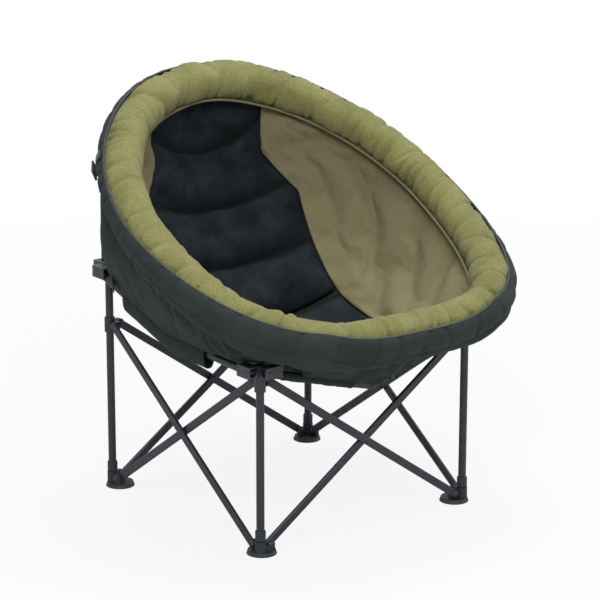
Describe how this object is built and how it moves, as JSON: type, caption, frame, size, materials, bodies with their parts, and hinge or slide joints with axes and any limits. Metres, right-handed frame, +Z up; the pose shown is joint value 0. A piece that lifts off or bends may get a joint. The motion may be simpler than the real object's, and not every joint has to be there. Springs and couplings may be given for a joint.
{
  "type": "folding chair",
  "caption": "Round padded folding chair: quilted bowl seat with a thick soft rim on a four-legged scissor frame of steel tube that closes to a bundle.",
  "frame": {"origin": "floor level below the middle of the rim, which is the middle of the outline; the legs' centre is 55 mm behind it", "axes": "+Z up, the sitter faces -Y, the sitter's right is -X"},
  "size_m": [0.919, 0.8822, 0.9731],
  "materials": {
    "frame_paint": "satin",
    "bracket": "satin",
    "rivet": "satin",
    "plastic": "matte",
    "shell_cloth": "matte",
    "mesh_cloth": "matte",
    "khaki_cloth": "matte",
    "fleece": "matte",
    "webbing": "matte"
  },
  "bodies": {
    "post_rear_right": {"outer_leg_rear_right": "frame_paint", "collar_rear_right": "plastic", "bracket_rear_right": "frame_paint", "corner_channel_rear_right": "bracket", "bowl_shell": "shell_cloth", "back_pad": "mesh_cloth", "seat_pad": "mesh_cloth", "side_panel_right": "khaki_cloth", "side_panel_left": "khaki_cloth", "rim_roll": "fleece", "rim_band": "shell_cloth", "strap_buckles": "webbing", "rail_sleeves": "shell_cloth", "outer_skirt": "shell_cloth"},
    "post_rear_left": {"outer_leg_rear_left": "frame_paint", "collar_rear_left": "plastic", "bracket_rear_left": "frame_paint", "corner_channel_rear_left": "bracket"},
    "post_front_right": {"outer_leg_front_right": "frame_paint", "collar_front_right": "plastic", "bracket_front_right": "frame_paint", "corner_channel_front_right": "bracket"},
    "post_front_left": {"outer_leg_front_left": "frame_paint", "collar_front_left": "plastic", "bracket_front_left": "frame_paint", "corner_channel_front_left": "bracket"},
    "foot_rear_right": {"foot_rear_right": "plastic", "inner_leg_rear_right": "frame_paint"},
    "foot_rear_left": {"foot_rear_left": "plastic", "inner_leg_rear_left": "frame_paint"},
    "foot_front_right": {"foot_front_right": "plastic", "inner_leg_front_right": "frame_paint"},
    "foot_front_left": {"foot_front_left": "plastic", "inner_leg_front_left": "frame_paint"},
    "strut_rear_outer": {"strut_rear_outer": "frame_paint", "rivets_rear_outer": "rivet"},
    "strut_rear_inner": {"strut_rear_inner": "frame_paint", "rivets_rear_inner": "rivet"},
    "strut_right_outer": {"strut_right_outer": "frame_paint", "rivets_right_outer": "rivet"},
    "strut_right_inner": {"strut_right_inner": "frame_paint", "rivets_right_inner": "rivet"},
    "strut_left_outer": {"strut_left_outer": "frame_paint", "rivets_left_outer": "rivet"},
    "strut_left_inner": {"strut_left_inner": "frame_paint", "rivets_left_inner": "rivet"},
    "strut_front_outer": {"strut_front_outer": "frame_paint", "rivets_front_outer": "rivet"},
    "strut_front_inner": {"strut_front_inner": "frame_paint", "rivets_front_inner": "rivet"},
    "front_rail_right": {"front_rail_right": "frame_paint", "front_sleeve_right": "shell_cloth"},
    "side_rail_front_right": {"side_rail_front_right": "frame_paint"},
    "side_rail_rear_right": {"side_rail_rear_right": "frame_paint"},
    "hoop_right": {"hoop_right": "frame_paint"},
    "front_rail_left": {"front_rail_left": "frame_paint", "front_sleeve_left": "shell_cloth"},
    "side_rail_front_left": {"side_rail_front_left": "frame_paint"},
    "side_rail_rear_left": {"side_rail_rear_left": "frame_paint"},
    "hoop_left": {"hoop_left": "frame_paint"}
  },
  "joints": [
    {"name": "fold", "type": "hinge", "parent": "post_rear_right", "child": "strut_rear_outer", "pos_m": [-0.268, 0.347, 0.396], "axis": [0, 1, 0], "range_deg": [0, 47], "deforming": ["bowl_shell", "back_pad", "seat_pad", "side_panel_right", "side_panel_left", "rim_roll", "rim_band", "strap_buckles", "rail_sleeves", "outer_skirt"]},
    {"name": "rear_cross", "type": "hinge", "parent": "strut_rear_outer", "child": "strut_rear_inner", "pos_m": [0, 0.347, 0.209], "axis": [0, 1, 0], "range_deg": [-94, 0]},
    {"name": "post_rear_left_pivot", "type": "hinge", "parent": "strut_rear_inner", "child": "post_rear_left", "pos_m": [0.268, 0.347, 0.396], "axis": [0, 1, 0], "range_deg": [0, 47]},
    {"name": "foot_rear_right_pivot", "type": "hinge", "parent": "strut_rear_inner", "child": "foot_rear_right", "pos_m": [-0.268, 0.347, 0.022], "axis": [0, 1, 0], "range_deg": [0, 47]},
    {"name": "foot_rear_left_pivot", "type": "hinge", "parent": "strut_rear_outer", "child": "foot_rear_left", "pos_m": [0.268, 0.347, 0.022], "axis": [0, 1, 0], "range_deg": [-47, 0]},
    {"name": "right_top", "type": "hinge", "parent": "post_rear_right", "child": "strut_right_outer", "pos_m": [-0.292, 0.323, 0.396], "axis": [1, 0, 0], "range_deg": [0, 47]},
    {"name": "right_cross", "type": "hinge", "parent": "strut_right_outer", "child": "strut_right_inner", "pos_m": [-0.292, 0.055, 0.209], "axis": [1, 0, 0], "range_deg": [-94, 0]},
    {"name": "post_front_right_pivot", "type": "hinge", "parent": "strut_right_inner", "child": "post_front_right", "pos_m": [-0.292, -0.213, 0.396], "axis": [1, 0, 0], "range_deg": [0, 47]},
    {"name": "foot_front_right_pivot", "type": "hinge", "parent": "strut_right_outer", "child": "foot_front_right", "pos_m": [-0.292, -0.213, 0.022], "axis": [1, 0, 0], "range_deg": [-47, 0]},
    {"name": "left_top", "type": "hinge", "parent": "post_rear_left", "child": "strut_left_outer", "pos_m": [0.292, 0.323, 0.396], "axis": [1, 0, 0], "range_deg": [0, 47]},
    {"name": "left_cross", "type": "hinge", "parent": "strut_left_outer", "child": "strut_left_inner", "pos_m": [0.292, 0.055, 0.209], "axis": [1, 0, 0], "range_deg": [-94, 0]},
    {"name": "post_front_left_pivot", "type": "hinge", "parent": "strut_left_inner", "child": "post_front_left", "pos_m": [0.292, -0.213, 0.396], "axis": [1, 0, 0], "range_deg": [0, 47]},
    {"name": "foot_front_left_pivot", "type": "hinge", "parent": "strut_left_outer", "child": "foot_front_left", "pos_m": [0.292, -0.213, 0.022], "axis": [1, 0, 0], "range_deg": [-47, 0]},
    {"name": "front_top", "type": "hinge", "parent": "post_front_right", "child": "strut_front_outer", "pos_m": [-0.268, -0.237, 0.396], "axis": [0, 1, 0], "range_deg": [0, 47]},
    {"name": "front_cross", "type": "hinge", "parent": "strut_front_outer", "child": "strut_front_inner", "pos_m": [0, -0.237, 0.209], "axis": [0, 1, 0], "range_deg": [-94, 0]},
    {"name": "front_rail_right_pin", "type": "hinge", "parent": "post_front_right", "child": "front_rail_right", "pos_m": [-0.292, -0.262, 0.424], "axis": [0, 1, 0], "range_deg": [0, 61.57]},
    {"name": "side_rail_front_right_pin", "type": "hinge", "parent": "post_front_right", "child": "side_rail_front_right", "pos_m": [-0.317, -0.237, 0.424], "axis": [1, 0, 0], "range_deg": [-58.75, 0]},
    {"name": "side_rail_rear_right_pin", "type": "hinge", "parent": "post_rear_right", "child": "side_rail_rear_right", "pos_m": [-0.317, 0.347, 0.525], "axis": [1, 0, 0], "range_deg": [0, 79.9]},
    {"name": "hoop_right_pin", "type": "hinge", "parent": "post_rear_right", "child": "hoop_right", "pos_m": [-0.258, 0.413, 0.528], "axis": [0, 1, 0], "range_deg": [-35.72, 0]},
    {"name": "front_rail_left_pin", "type": "hinge", "parent": "post_front_left", "child": "front_rail_left", "pos_m": [0.292, -0.262, 0.424], "axis": [0, 1, 0], "range_deg": [-61.57, 0]},
    {"name": "side_rail_front_left_pin", "type": "hinge", "parent": "post_front_left", "child": "side_rail_front_left", "pos_m": [0.317, -0.237, 0.424], "axis": [1, 0, 0], "range_deg": [-58.75, 0]},
    {"name": "side_rail_rear_left_pin", "type": "hinge", "parent": "post_rear_left", "child": "side_rail_rear_left", "pos_m": [0.317, 0.347, 0.525], "axis": [1, 0, 0], "range_deg": [0, 79.9]},
    {"name": "hoop_left_pin", "type": "hinge", "parent": "post_rear_left", "child": "hoop_left", "pos_m": [0.258, 0.413, 0.528], "axis": [0, 1, 0], "range_deg": [0, 35.72]}
  ],
  "couplings": [
    {"joint": "rear_cross", "follows": "fold", "ratio": -2},
    {"joint": "post_rear_left_pivot", "follows": "fold", "ratio": 1},
    {"joint": "foot_rear_right_pivot", "follows": "fold", "ratio": 1},
    {"joint": "foot_rear_left_pivot", "follows": "fold", "ratio": -1},
    {"joint": "right_top", "follows": "fold", "ratio": 1},
    {"joint": "right_cross", "follows": "fold", "ratio": -2},
    {"joint": "post_front_right_pivot", "follows": "fold", "ratio": 1},
    {"joint": "foot_front_right_pivot", "follows": "fold", "ratio": -1},
    {"joint": "left_top", "follows": "fold", "ratio": 1},
    {"joint": "left_cross", "follows": "fold", "ratio": -2},
    {"joint": "post_front_left_pivot", "follows": "fold", "ratio": 1},
    {"joint": "foot_front_left_pivot", "follows": "fold", "ratio": -1},
    {"joint": "front_top", "follows": "fold", "ratio": 1},
    {"joint": "front_cross", "follows": "fold", "ratio": -2},
    {"joint": "front_rail_right_pin", "follows": "fold", "ratio": 1.31},
    {"joint": "side_rail_front_right_pin", "follows": "fold", "ratio": -1.25},
    {"joint": "side_rail_rear_right_pin", "follows": "fold", "ratio": 1.7},
    {"joint": "hoop_right_pin", "follows": "fold", "ratio": -0.76},
    {"joint": "front_rail_left_pin", "follows": "fold", "ratio": -1.31},
    {"joint": "side_rail_front_left_pin", "follows": "fold", "ratio": -1.25},
    {"joint": "side_rail_rear_left_pin", "follows": "fold", "ratio": 1.7},
    {"joint": "hoop_left_pin", "follows": "fold", "ratio": 0.76}
  ]
}
